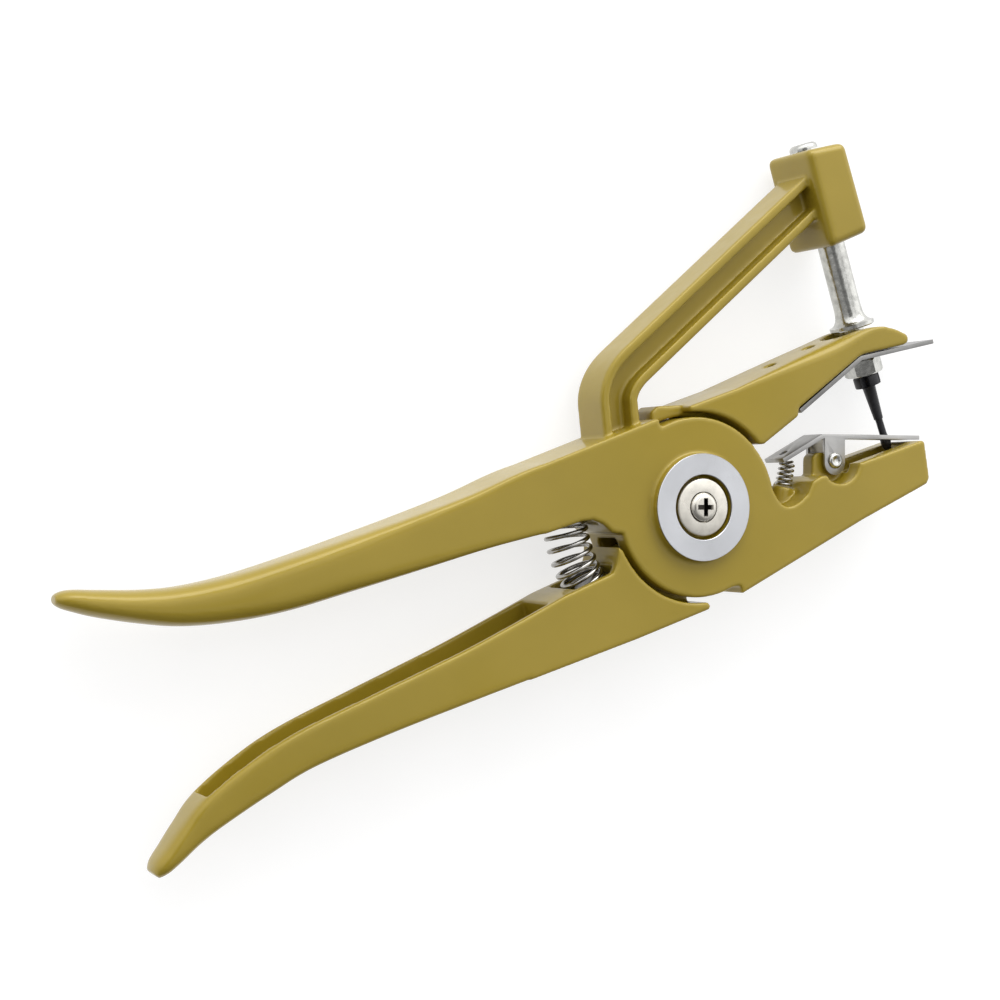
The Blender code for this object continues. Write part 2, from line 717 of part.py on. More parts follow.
def flats():
    """Four corner blocks that leave the needle's head as a cross."""
    base = pin_foot()
    e1, e2 = frame_of(PIN_UP)
    cuts = []
    for x, y in ((1, 1), (-1, 1), (-1, -1), (1, -1)):
        near, far = 1.75, 6.0
        ring = [(near, near), (far, near), (far, far), (near, far)]
        ring = [e1 * x * a + e2 * y * b for a, b in ring]
        if x * y < 0:
            ring.reverse()
        cuts.append(skin([[tuple(base + p + PIN_UP * h) for p in ring] for h in (13.0, 18.0)]))
    return cuts


def clip_rivet(finish):
    """A headed pin through the lug, standing out of both ears."""
    end = CLIP_HALF + 0.25
    half = [(1.3, end + 0.85), (2.25, end + 0.4), (2.25, end), (RIVET_R, end)]
    profile = [(r, -h) for r, h in half] + half[::-1]
    add("clip_rivet", turned(profile, (*RIVET, 0), (0, 0, 1), 20), finish)


def main():
    for thing in list(bpy.data.objects):
        bpy.data.objects.remove(thing)
    gold = material("gold_paint", GOLD, 0.3, 0.0)
    nickel = material("nickel_plate", NICKEL, 0.22, 1.0)
    aluminium = material("turned_aluminium", ALUMINIUM, 0.34, 1.0)
    steel = material("sheet_steel", STEEL, 0.36, 1.0)
    wire = material("spring_wire", STEEL, 0.28, 1.0)
    black = material("black_needle", BLACK, 0.4, 0.0)
    bronze = material("bronze_bush", BRONZE, 0.4, 1.0)
    axis_empty("frame_axis", (0, 0))
    axis_empty("lever_axis", (0, 0))
    axis_empty("clip_axis", RIVET)
    frame_casting(gold)
    lever_casting(gold)
    pivot_stack(nickel, aluminium, bronze, steel)
    plunger(nickel, black)
    press_plate(steel)
    plate_screws(nickel)
    tag_clip(steel)
    clip_rivet(nickel)
    main_spring(wire)
    clip_spring(wire)
    spring_stud("spring_stud_upper", 177.5, 1, steel, "frame_axis")
    spring_stud("spring_stud_lower", 221.0, -1, steel, "lever_axis")


main()
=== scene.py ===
"""Looks of the ear-tag pliers: painted castings, plated hardware and coiled springs around the CAD frame.

Shapes are laid out in millimetres in the tool's own plane (x towards the jaws, y towards the plunger
head, z across the tool with 0 half way through it) and are turned into metres in the row frame,
where the pivot axis runs through the origin.
"""

import json
import math

import bpy
from mathutils import Matrix, Vector


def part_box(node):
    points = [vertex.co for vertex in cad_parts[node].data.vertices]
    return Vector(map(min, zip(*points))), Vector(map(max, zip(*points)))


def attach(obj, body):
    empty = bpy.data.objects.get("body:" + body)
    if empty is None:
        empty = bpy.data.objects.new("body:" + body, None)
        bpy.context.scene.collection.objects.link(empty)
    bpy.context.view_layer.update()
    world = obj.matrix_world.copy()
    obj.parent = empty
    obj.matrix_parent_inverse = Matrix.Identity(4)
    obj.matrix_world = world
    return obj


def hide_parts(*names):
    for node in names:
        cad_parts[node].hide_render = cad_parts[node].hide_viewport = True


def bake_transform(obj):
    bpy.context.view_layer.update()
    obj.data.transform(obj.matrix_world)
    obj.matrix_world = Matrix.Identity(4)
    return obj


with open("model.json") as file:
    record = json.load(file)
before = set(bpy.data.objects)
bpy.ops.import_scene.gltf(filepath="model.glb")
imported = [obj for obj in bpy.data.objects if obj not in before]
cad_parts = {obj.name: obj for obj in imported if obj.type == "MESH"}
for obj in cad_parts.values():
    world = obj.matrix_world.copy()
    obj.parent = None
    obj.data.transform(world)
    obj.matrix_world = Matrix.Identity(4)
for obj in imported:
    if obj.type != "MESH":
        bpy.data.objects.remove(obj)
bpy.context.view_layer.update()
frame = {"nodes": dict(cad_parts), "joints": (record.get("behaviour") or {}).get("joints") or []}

MM = 0.001
ACROSS = Vector((0, 0, 1))

# The middle plane's height over the face the tool lies on, and the clip's axis, both from the frame.
LIFT = (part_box("pivot_bush")[0].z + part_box("pivot_bush")[1].z) / 2 / MM
CLIP_JOINT = next(j for j in frame["joints"] if j["name"] == "clip_pivot")
RIVET = tuple(c / MM for c in CLIP_JOINT["pos_m"][:2])

# Castings and pivot stack: radii about the pivot, and half widths and heights from the middle plane.
# THROUGH is further out than any part.
BODY_HALF = 10.0
SLOT_HALF = 4.8
TONGUE_HALF = 4.0
JAW_TAIL_HALF = 5.0
DISC_R = 24.1
LEVER_ARC_R = 25.6
HUB_R = 14.0
THROUGH = 20.0
RING_FACE = 12.6
RING_R = 14.3
RING_T = 0.7
RECESS_R = 8.7
CAP_R = 7.7
CAP_SEAT = 9.6
CAP_TOP = 12.3
BARREL_R = 5.0
BUSH_R = 6.4
RUNNING_GAP = 0.3

# Screws, each as (head radius, head height, shank radius), and the shade painted into the pivot screw's
# recess
PIVOT_SCREW = (4.0, 2.2, 2.0)
PIVOT_SCREW_TOP = 13.5
# painted shade: the near-black colour of the pivot screw's cross recess, its depth below the screw's top and
# its reach from the axis
RECESS_SHADE = (0.05, 0.046, 0.04, 1)
RECESS_SHADE_DEPTH = 0.9
RECESS_SHADE_REACH = 2.75
CLAMP_SCREW = (4.0, 1.9, 1.95)
CLAMP_SCREW_AT = (68.8, 84.6)
PLATE_SCREW = (2.7, 1.4, 1.5)
PLATE_HOLE_R = 1.8

# Plunger. A name in N is a distance from the pivot square to the plunger, one in S a place along it.
LEAN = math.radians(17.7)
ROD_N = 69.7
ROD_R = 3.85
ROD_TOP = 74.0
SHANK_R = 3.0
SHANK_FOOT = 17.5
COLLAR_R = 6.35
COLLAR_FOOT = 31.0
NUT_R = 5.5
NUT_S = (17.3, 21.6)

# The needle hangs a little further out than the rod that it sits in
PIN_SWAY = math.radians(3.0)
PIN_SWAY_S = 20.0

# Plunger head, as places (n, s), and the slot in the upper jaw with its half width
HEAD_CORNERS = [(62.4, 55.2), (76.2, 56.4), (75.7, 82.0), (62.6, 82.8)]
HEAD_HALF = 10.5
SLOT_N = (59.4, 75.2)
SLOT_W = 5.8

# Arm from the handle to the plunger head
ARM_HALF = 7.0
ARM_H = 5.6
ARM_WEB_HALF = 2.6
ARM_GROOVE_W = 5.9

# Press plate, clip, and the lug and seat they work over
PLATE_T = 1.2
PLATE_HALF = 9.5
PLATE_PATH = [(32.85, 26.3), (53.1, 41.4), (78.0, 46.95)]
PLATE_SCREWS = [(29.1, 39.0), (42.5, 43.7)]
CLIP_T = 1.2
CLIP_HALF = 4.6
CLIP_PATH = [(30.6, 12.8), (43.8, 19.75), (76.9, 19.75)]
CLIP_HOLE_R = 2.5
CLIP_HOLE_S = -1.0
CLIP_TAIL_HOLE = (33.9, 14.5)
CLIP_TAIL_UP = (-0.47, 0.88, 0)
CLIP_TAIL_HOLE_R = 1.3
RIVET_HOLE_R = 1.35
BEND_R = 2.0
SHEET_EDGE = 0.15
EAR_R = 3.4
EAR_T = 1.0
EAR_DROP = 0.6
SCALLOP = (46.0, 12.9)
LUG_HALF = 2.6

# Springs: the main one lies in an arc about the pivot, from one direction to another in degrees
SPRING_R = 35.5
SPRING_COIL_R = 5.5
SPRING_WIRE_R = 0.6
SPRING_TURNS = 9
SPRING_ARC = (180.9, 217.6)
SPRING_HOLD = (182.5, 216.5)
POCKET_HALF = 7.3
POCKET_R = 6.3
UPPER_POCKET = (177, 205)
LOWER_POCKET = (200, 221.5)
CLIP_SPRING = ((33.5, 5.9), (34.9, 12.6))
CLIP_SPRING_R = (2.1, 1.9)
CLIP_SPRING_TURNS = 5
CLIP_WIRE_R = 0.4
CLIP_SEAT_R = 3.4

# Cast surface: voxel size, and passes that round its edges
VOXEL = 0.42
ROUNDING = 7


# ---------- points ----------


def polar(r, degrees, centre=(0, 0)):
    """A point by its distance and direction from a centre."""
    a = math.radians(degrees)
    return (centre[0] + r * math.cos(a), centre[1] + r * math.sin(a))


def arc(r, start, end, centre=(0, 0), step=2.0):
    """Points along an arc, about a step of degrees apart."""
    n = max(2, math.ceil(abs(end - start) / step))
    return [polar(r, start + (end - start) * i / n, centre) for i in range(n + 1)]


def quarter(steps):
    """Angles through a quarter turn."""
    return [math.pi / 2 * i / steps for i in range(steps + 1)]


def on_rod(n, s):
    """A point by its distance n from the pivot, square to the plunger, and s along the plunger."""
    return (
        n * math.cos(LEAN) - s * math.sin(LEAN),
        n * math.sin(LEAN) + s * math.cos(LEAN),
    )


ROD_UP = Vector((-math.sin(LEAN), math.cos(LEAN), 0))
PIN_UP = Vector((-math.sin(LEAN + PIN_SWAY), math.cos(LEAN + PIN_SWAY), 0))


def pin_foot():
    """Where the needle's own axis starts, as far below its head as the rod's foot is."""
    return Vector((*on_rod(ROD_N, PIN_SWAY_S), 0)) - PIN_UP * PIN_SWAY_S


def smooth(stations, steps):
    """Catmull-Rom values between rows of numbers."""
    rows = [stations[0]] + stations + [stations[-1]]
    out = []
    for a, b, c, d in zip(rows, rows[1:], rows[2:], rows[3:]):
        for i in range(steps):
            t = i / steps
            row = []
            for p, q, r, s in zip(a, b, c, d):
                square = (2 * p - 5 * q + 4 * r - s) * t * t
                cube = (3 * q - p - 3 * r + s) * t**3
                row.append(0.5 * (2 * q + (r - p) * t + square + cube))
            out.append(tuple(row))
    return out + [tuple(stations[-1])]


def rounded_path(path, radius, steps=6):
    """A path with each inner corner replaced by an arc of about that radius."""
    out = [Vector(path[0])]
    for a, b, c in zip(path, path[1:], path[2:]):
        a, b, c = Vector(a), Vector(b), Vector(c)
        back, ahead = (a - b).normalized(), (c - b).normalized()
        half = back.angle(ahead) / 2
        reach = radius / math.tan(half)
        p, q = b + back * reach, b + ahead * reach
        for i in range(steps + 1):
            t = i / steps
            out.append((1 - t) ** 2 * p + 2 * t * (1 - t) * b + t * t * q)
    return [tuple(p) for p in out + [Vector(path[-1])]]


def tangents(path):
    """The direction of a path at each of its points, in the tool's plane."""
    last = len(path) - 1
    found = []
    for i in range(len(path)):
        ahead, behind = path[min(i + 1, last)], path[max(i - 1, 0)]
        found.append(Vector((ahead[0] - behind[0], ahead[1] - behind[1])).normalized())
    return found


def offset_strip(path, thickness):
    """The outline of a bent strip about its centreline, without the folds inside a tight bend."""
    low, high = [], []
    for point, along in zip(path, tangents(path)):
        normal = Vector((-along.y, along.x)) * thickness / 2
        for side, moved in ((low, Vector(point) - normal), (high, Vector(point) + normal)):
            if not side or (moved - Vector(side[-1])).dot(along) > 0:
                side.append(tuple(moved))
    return low + high[::-1]


# ---------- solids, as (vertices, faces) in millimetres ----------


def prism(outline, low, high):
    """A counter-clockwise outline in the tool's plane, between two heights across it."""
    n = len(outline)
    verts = [(x, y, low) for x, y in outline] + [(x, y, high) for x, y in outline]
    faces = [list(range(n))[::-1], list(range(n, 2 * n))]
    faces += [[i, (i + 1) % n, n + (i + 1) % n, n + i] for i in range(n)]
    return verts, faces


def skin(rings):
    """A closed solid through rings of equal length, each counter-clockwise seen from its far end."""
    n = len(rings[0])
    verts = [p for ring in rings for p in ring]
    faces = [list(range(n))[::-1], list(range(len(verts) - n, len(verts)))]
    for k in range(len(rings) - 1):
        for i in range(n):
            j = (i + 1) % n
            faces.append([k * n + i, k * n + j, (k + 1) * n + j, (k + 1) * n + i])
    return verts, faces


def frame_of(axis):
    """Two directions square to an axis and to each other."""
    across = ACROSS if abs(axis.z) < 0.9 else Vector((1, 0, 0))
    first = (across - axis * across.dot(axis)).normalized()
    return first, axis.cross(first)


def turned(profile, origin, axis, sides=96):
    """A profile of (radius, height) rows, bottom to top, turned about an axis."""
    axis = Vector(axis).normalized()
    origin = Vector(origin)
    e1, e2 = frame_of(axis)
    angles = [2 * math.pi * i / sides for i in range(sides)]
    rings = []
    for r, h in profile:
        middle = origin + axis * h
        rings.append([tuple(middle + (e1 * math.cos(a) + e2 * math.sin(a)) * r) for a in angles])
    return skin(rings)


def drum(radius, low, high, x=0, y=0, sides=96):
    """A cylinder across the tool, between two heights over the middle plane."""
    return turned([(radius, low), (radius, high)], (x, y, 0), ACROSS, sides)


def tube(points, radius, sides=14):
    """A round wire along points, with rounded-off ends."""
    points = [Vector(p) for p in points]
    last = len(points) - 1
    rings = []
    across = None
    for i, here in enumerate(points):
        along = (points[min(i + 1, last)] - points[max(i - 1, 0)]).normalized()
        if across is None:
            across = frame_of(along)[0]
        across = (across - along * across.dot(along)).normalized()
        other = along.cross(across)
        r = radius * (0.6 if i in (0, last) else 1)
        angles = [2 * math.pi * k / sides for k in range(sides)]
        rings.append([tuple(here + (across * math.cos(a) + other * math.sin(a)) * r) for a in angles])
    return skin(rings)


def loft(stations, points=72, steps=10):
    """A bar through stations of (x, y, half height, half width, squareness)."""
    rows = smooth(stations, steps)
    rings = []
    for (x, y, height, width, power), along in zip(rows, tangents(rows)):
        ring = []
        for k in range(points):
            a = 2 * math.pi * (k + 0.5) / points
            c, s = math.cos(a), math.sin(a)
            up = height * math.copysign(abs(c) ** (2 / power), c)
            side = width * math.copysign(abs(s) ** (2 / power), s)
            ring.append((x - along.y * up, y + along.x * up, side))
        rings.append(ring)
    return skin(rings)


def box_between(n, s, half):
    """A block squared to the plunger, between two distances n and two places s along it."""
    corners = [(n[0], s[0]), (n[1], s[0]), (n[1], s[1]), (n[0], s[1])]
    return prism([on_rod(*c) for c in corners], -half, half)


# ---------- meshes ----------


def thing(name, solid):
    """An object made of a solid, in metres and lifted onto the face the tool lies on."""
    verts, faces = solid
    lift = Vector((0, 0, LIFT * MM))
    mesh = bpy.data.meshes.new(name)
    mesh.from_pydata([tuple(Vector(v) * MM + lift) for v in verts], [], faces)
    mesh.update()
    made = bpy.data.objects.new(name, mesh)
    bpy.context.scene.collection.objects.link(made)
    return made


def settle(made):
    """Swaps an object's mesh for what its modifiers make of it."""
    bpy.context.view_layer.update()
    result = bpy.data.meshes.new_from_object(made.evaluated_get(bpy.context.evaluated_depsgraph_get()))
    made.modifiers.clear()
    made.data = result
    return made


def carve(made, operation, solids):
    """Joins solids to an object or cuts them out, and removes them."""
    guides = [s if isinstance(s, bpy.types.Object) else thing("guide", s) for s in solids]
    for guide in guides:
        step = made.modifiers.new("step", "BOOLEAN")
        step.operation = operation
        step.object = guide
        step.solver = "EXACT"
    settle(made)
    for guide in guides:
        bpy.data.objects.remove(guide)
    return made


def cast(made):
    """Turns crisp edges and inner corners into those of a casting."""
    remesh = made.modifiers.new("remesh", "REMESH")
    remesh.mode = "VOXEL"
    remesh.voxel_size = VOXEL * MM
    settle(made)
    soften = made.modifiers.new("soften", "SMOOTH")
    soften.factor = 0.5
    soften.iterations = ROUNDING
    settle(made)
    return made


def bevelled(made, width, segments=2, angle=30):
    """Rounds the edges that are sharper than an angle."""
    bevel = made.modifiers.new("bevel", "BEVEL")
    bevel.width = width * MM
    bevel.segments = segments
    bevel.limit_method = "ANGLE"
    bevel.angle_limit = math.radians(angle)
    bevel.use_clamp_overlap = True
    return settle(made)


def finish_piece(made, body, slot, finish, *nodes, sharp=None):
    """Shades a piece, gives it its material, hides its CAD nodes and ties it to its CAD body when one body is
    named; a piece given two bodies is left fixed where it is.
    """
    made.data.materials.clear()
    made.data.materials.append(finish)
    made.data.shade_smooth()
    if sharp:
        made.data.set_sharp_from_angle(angle=math.radians(sharp))
    if nodes:
        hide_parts(*nodes)
    if isinstance(body, str):
        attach(made, body)
    else:
        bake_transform(made)
    return made


# ---------- materials ----------


def new_material(name, colour, roughness, metallic):
    """A material with its node tree and its shader, whose own sockets have plain values."""
    made = bpy.data.materials.new(name)
    made.use_nodes = True
    shader = made.node_tree.nodes["Principled BSDF"]
    shader.inputs["Base Color"].default_value = (*colour, 1)
    shader.inputs["Roughness"].default_value = roughness
    shader.inputs["Metallic"].default_value = metallic
    return made, made.node_tree, shader


def object_coordinates(tree):
    """Coordinates in metres that stay with a piece."""
    return tree.nodes.new("ShaderNodeTexCoord").outputs["Object"]


def noise(tree, source, scale, detail):
    node = tree.nodes.new("ShaderNodeTexNoise")
    node.inputs["Scale"].default_value = scale
    node.inputs["Detail"].default_value = detail
    node.inputs["Roughness"].default_value = 0.55
    tree.links.new(source, node.inputs["Vector"])
    return node.outputs["Fac"]


def feed(tree, socket, value):
    """Links an output to a socket, or sets the socket to a plain value."""
    if isinstance(value, bpy.types.NodeSocket):
        tree.links.new(value, socket)
    else:
        socket.default_value = value


def vector_math(tree, operation, *values):
    """A vector node with its inputs linked or set."""
    node = tree.nodes.new("ShaderNodeVectorMath")
    node.operation = operation
    for socket, value in zip(node.inputs, values):
        feed(tree, socket, value)
    return node


def mix(tree, factor, first, second):
    """The first colour where the factor is 0 and the second where it is 1."""
    node = tree.nodes.new("ShaderNodeMix")
    node.data_type = "RGBA"
    for name, value in (("Factor", factor), ("A", first), ("B", second)):
        feed(tree, node.inputs[name], value)
    return node.outputs["Result"]


def ramp(tree, source, stops):
    """A source turned into the values or colours of its stops, as (place, value) from 0 to 1."""
    node = tree.nodes.new("ShaderNodeValToRGB")
    elements = node.color_ramp.elements
    while len(elements) < len(stops):
        elements.new(0.5)
    for element, (at, value) in zip(elements, stops):
        element.position = at
        element.color = (*value, 1) if isinstance(value, tuple) else (value, value, value, 1)
    tree.links.new(source, node.inputs["Fac"])
    return node.outputs["Color"]


def bump(tree, shader, height, distance, strength, normal=None):
    """Raises a shader's surface by a height, on top of an earlier bump if there is one."""
    node = tree.nodes.new("ShaderNodeBump")
    node.inputs["Distance"].default_value = distance
    node.inputs["Strength"].default_value = strength
    tree.links.new(height, node.inputs["Height"])
    if normal:
        tree.links.new(normal, node.inputs["Normal"])
    tree.links.new(node.outputs["Normal"], shader.inputs["Normal"])
    return node.outputs["Normal"]


def stretched(tree, source, scale):
    """Coordinates that run faster along some axes, for a grain."""
    node = tree.nodes.new("ShaderNodeMapping")
    node.inputs["Scale"].default_value = scale
    tree.links.new(source, node.inputs["Vector"])
    return node.outputs["Vector"]


def gold_paint():
    """Olive-gold enamel: a fine metallic base under a clear coat that flowed a little unevenly."""
    made, tree, shader = new_material("gold_paint", (0.30, 0.216, 0.014), 0.4, 0.15)
    where = object_coordinates(tree)
    patches = noise(tree, where, 28, 3)
    tone = [(0.3, (0.285, 0.206, 0.012)), (0.7, (0.317, 0.228, 0.016))]
    tree.links.new(ramp(tree, patches, tone), shader.inputs["Base Color"])
    gloss = noise(tree, where, 160, 4)
    tree.links.new(ramp(tree, gloss, [(0.25, 0.36), (0.8, 0.48)]), shader.inputs["Roughness"])
    flow = noise(tree, where, 130, 2)
    first = bump(tree, shader, flow, 0.00022, 0.35)
    bump(tree, shader, noise(tree, where, 900, 3), 0.00004, 0.35, first)
    shader.inputs["Specular IOR Level"].default_value = 0.3
    shader.inputs["Coat Weight"].default_value = 0.5
    shader.inputs["Coat Roughness"].default_value = 0.1
    shader.inputs["Coat IOR"].default_value = 1.5
    return made


def turned_aluminium():
    """Faced in a lathe: fine rings about the pivot that stretch its highlights outwards."""
    made, tree, shader = new_material("turned_aluminium", (0.58, 0.59, 0.62), 0.3, 1.0)
    where = object_coordinates(tree)
    rings = tree.nodes.new("ShaderNodeTexWave")
    rings.wave_type = "RINGS"
    rings.rings_direction = "Z"
    rings.inputs["Scale"].default_value = 1100
    rings.inputs["Distortion"].default_value = 1.2
    tree.links.new(where, rings.inputs["Vector"])
    bump(tree, shader, rings.outputs["Fac"], 0.00003, 0.35)
    gloss = ramp(tree, rings.outputs["Fac"], [(0.0, 0.26), (1.0, 0.36)])
    tree.links.new(gloss, shader.inputs["Roughness"])
    tone = [(0.3, (0.54, 0.55, 0.57)), (0.7, (0.62, 0.63, 0.66))]
    tree.links.new(ramp(tree, noise(tree, where, 90, 4), tone), shader.inputs["Base Color"])
    shader.inputs["Anisotropic"].default_value = 0.75
    tangent = tree.nodes.new("ShaderNodeTangent")
    tangent.direction_type = "RADIAL"
    tangent.axis = "Z"
    tree.links.new(tangent.outputs["Tangent"], shader.inputs["Tangent"])
    return made


def nickel(name, colour, roughness, grain, ripple=0.00005, wear=0.72):
    """Plated steel: patches of duller plating, and ripples that break up what it reflects."""
    made, tree, shader = new_material(name, colour, roughness, 1.0)
    where = object_coordinates(tree)
    dark = tuple(c * wear for c in colour)
    tone = ramp(tree, noise(tree, where, 420, 4), [(0.35, dark), (0.6, colour)])
    tree.links.new(tone, shader.inputs["Base Color"])
    gloss = ramp(tree, noise(tree, where, 500, 3), [(0.3, roughness * 0.75), (0.75, roughness * 1.3)])
    tree.links.new(gloss, shader.inputs["Roughness"])
    bump(tree, shader, noise(tree, where, grain, 4), ripple, 0.6)
    return made


def recessed_nickel(colour):
    """The pivot screw's plating, with painted shade darkening the bottom and walls of its cross recess."""
    made = nickel("recessed_nickel", colour, 0.25, 300, 0.00005, 0.85)
    tree = made.node_tree
    shader = tree.nodes["Principled BSDF"]
    clean = shader.inputs["Base Color"].links[0].from_socket
    where = object_coordinates(tree)
    place = tree.nodes.new("ShaderNodeSeparateXYZ")
    tree.links.new(where, place.inputs["Vector"])
    level = tree.nodes.new("ShaderNodeMapRange")
    level.inputs["From Min"].default_value = (PIVOT_SCREW_TOP + LIFT - RECESS_SHADE_DEPTH) * MM
    level.inputs["From Max"].default_value = (PIVOT_SCREW_TOP + LIFT - RECESS_SHADE_DEPTH / 6) * MM
    tree.links.new(place.outputs["Z"], level.inputs["Value"])
    # painted shade: below the screw's top and near its axis, the plating is coloured near black as if in
    # shadow
    recess_shaded = mix(tree, level.outputs["Result"], RECESS_SHADE, clean)
    from_axis = vector_math(tree, "LENGTH", vector_math(tree, "MULTIPLY", where, (1, 1, 0)).outputs["Vector"])
    inside = tree.nodes.new("ShaderNodeMath")
    inside.operation = "LESS_THAN"
    inside.inputs[1].default_value = RECESS_SHADE_REACH * MM
    tree.links.new(from_axis.outputs["Value"], inside.inputs[0])
    result = mix(tree, inside.outputs["Value"], clean, recess_shaded)
    tree.links.new(result, shader.inputs["Base Color"])
    return made


def sheet_steel(name, light):
    """Rolled sheet with its grain along the tool, duller where it has been handled."""
    made, tree, shader = new_material(name, (light, light, light), 0.35, 1.0)
    where = object_coordinates(tree)
    grain = noise(tree, stretched(tree, where, (60, 500, 900)), 1.0, 4)
    bump(tree, shader, grain, 0.00004, 0.35)
    tree.links.new(ramp(tree, grain, [(0.3, 0.26), (0.7, 0.42)]), shader.inputs["Roughness"])
    tones = [(at, (light * k, light * k * 0.99, light * k * 0.97)) for at, k in ((0.3, 0.8), (0.7, 1.12))]
    tree.links.new(ramp(tree, noise(tree, where, 120, 4), tones), shader.inputs["Base Color"])
    return made


def black_finish():
    """Blackened steel, a little lighter in random patches."""
    made, tree, shader = new_material("black_needle", (0.012, 0.012, 0.014), 0.38, 0.2)
    where = object_coordinates(tree)
    tone = [(0.35, (0.008, 0.008, 0.010)), (0.75, (0.022, 0.022, 0.026))]
    tree.links.new(ramp(tree, noise(tree, where, 400, 4), tone), shader.inputs["Base Color"])
    bump(tree, shader, noise(tree, where, 700, 3), 0.00005, 0.4)
    return made


# ---------- frame casting ----------

# Stations of both handles, for loft()
UPPER_HANDLE = [
    (-170.6, -21.5, 1.1, 2.5, 2.0),
    (-169.0, -21.5, 2.0, 3.8, 2.1),
    (-166.0, -21.75, 2.65, 4.7, 2.2),
    (-160.0, -22.6, 3.3, 5.6, 2.3),
    (-150.0, -23.5, 4.05, 6.3, 2.5),
    (-140.0, -23.6, 4.85, 6.9, 2.8),
    (-128.0, -22.1, 5.6, 7.6, 3.2),
    (-115.0, -19.2, 6.2, 8.3, 4.0),
    (-98.0, -14.2, 6.5, 9.1, 5.0),
    (-80.0, -8.7, 6.8, 9.6, 8.0),
    (-64.0, -3.6, 7.3, 9.9, 13.0),
    (-52.0, 0.35, 8.3, 10.0, 22.0),
    (-46.0, 2.15, 8.7, 10.0, 28.0),
    (-38.0, 4.6, 8.7, 10.0, 28.0),
]

LOWER_HANDLE = [
    (-146.6, -87.6, 1.3, 3.9, 2.3),
    (-145.1, -85.8, 2.2, 5.5, 2.6),
    (-142.2, -82.7, 2.7, 6.2, 3.0),
    (-138.0, -78.0, 3.35, 6.5, 4.0),
    (-132.3, -72.6, 4.3, 7.0, 6.0),
    (-121.5, -65.25, 4.9, 7.7, 8.0),
    (-110.0, -58.9, 5.05, 8.2, 10.0),
    (-90.1, -51.05, 5.55, 9.0, 13.0),
    (-66.0, -42.15, 6.6, 9.8, 18.0),
    (-50.0, -36.0, 7.69, 10.0, 28.0),
    (-42.0, -32.75, 8.2, 10.0, 28.0),
]


# The lug between the clip's ears
LUG = [(41.6, 2), (52, 2), (51.6, 11.2), (50.6, 13.2), (49.0, 14.6), (47, 15.2), (43.4, 15.2)]
LUG += [(42.2, 14.5), (41.6, 13.2)]

# The trough in the lower jaw that the tag's button sinks into
TAG_WELL = [(52.0, 8.6), (71.5, 12.6), (71.5, 24.0), (52.0, 24.0)]
TAG_WELL_HALF = 4.6

# Directions in which the lever's tongue leaves the pivot: past the upper jaw and past the lower handle
TONGUE_SECTORS = ((44, 93), (209, 270))
SWING = (8.5, 5)


def handle_root_and_lower_jaw():
    """The outline of the cheeks with the upper handle's root and the lower jaw."""
    return (
        [(-46, -6.9), (-35.2, -3.6), (-32, -3.3), (-29, -4.3), (-26, -6.7), (-23.2, -6.8)]
        + arc(DISC_R, 197, 297)
        + [(13.3, -21.3), (13.8, -23.4), (53.5, -3.6), (75.6, 6.5), (76.5, 8.2), (74.8, 18.2), (74.2, 18.9)]
        + [(52.6, 12.2)]
        + arc(6.5, -5, -125, SCALLOP, 10)
        + [(41.6, 8.75), (39.6, 8.5), (36.9, 7.1)]
        + [(35.2, 3.6), (32.9, 1.65), (30.8, 0.5), (28.7, 0), (26.6, 0.7), (25.1, 2.5)]
        + arc(DISC_R, 12, 118.5)
        + [(-12.3, 23.6), (-46, 11.2)]
    )


def arm_line():
    """The arm's centreline: up out of the handle, round a bend and straight to the plunger head."""
    foot, bend, turn, straight, end = (-20.8, 14.0), (-22.4, 28.0), (-22.4, 33.2), (-17.0, 37.9), (41.3, 88.2)
    curve = []
    for i in range(17):
        t = i / 16
        parts = zip(bend, turn, straight)
        curve.append(tuple((1 - t) ** 2 * a + 2 * t * (1 - t) * b + t * t * c for a, b, c in parts))
    return [foot] + curve + [end]


def arm_groove(side):
    """The trough in one face of the arm, from the handle's top to the plunger head."""
    low, high = sorted((side * ARM_WEB_HALF, side * (ARM_HALF + 2)))
    return prism(offset_strip(arm_line(), ARM_GROOVE_W), low, high)


def pocket(start, end):
    """The room round an end of the main spring, between two directions from the pivot."""
    outline = arc(SPRING_R - POCKET_R, end, start) + arc(SPRING_R + POCKET_R, start, end)
    return prism(outline, -POCKET_HALF, POCKET_HALF)


def tongue_room(half, swing=(0, 0)):
    """The sectors the tongue fills, or sweeps if it swings by so many degrees either way."""
    reach = LEVER_ARC_R + 2.2
    sectors = [[(0, 0)] + arc(reach, low - swing[0], high + swing[1]) for low, high in TONGUE_SECTORS]
    return [prism(sector, -half, half) for sector in sectors]


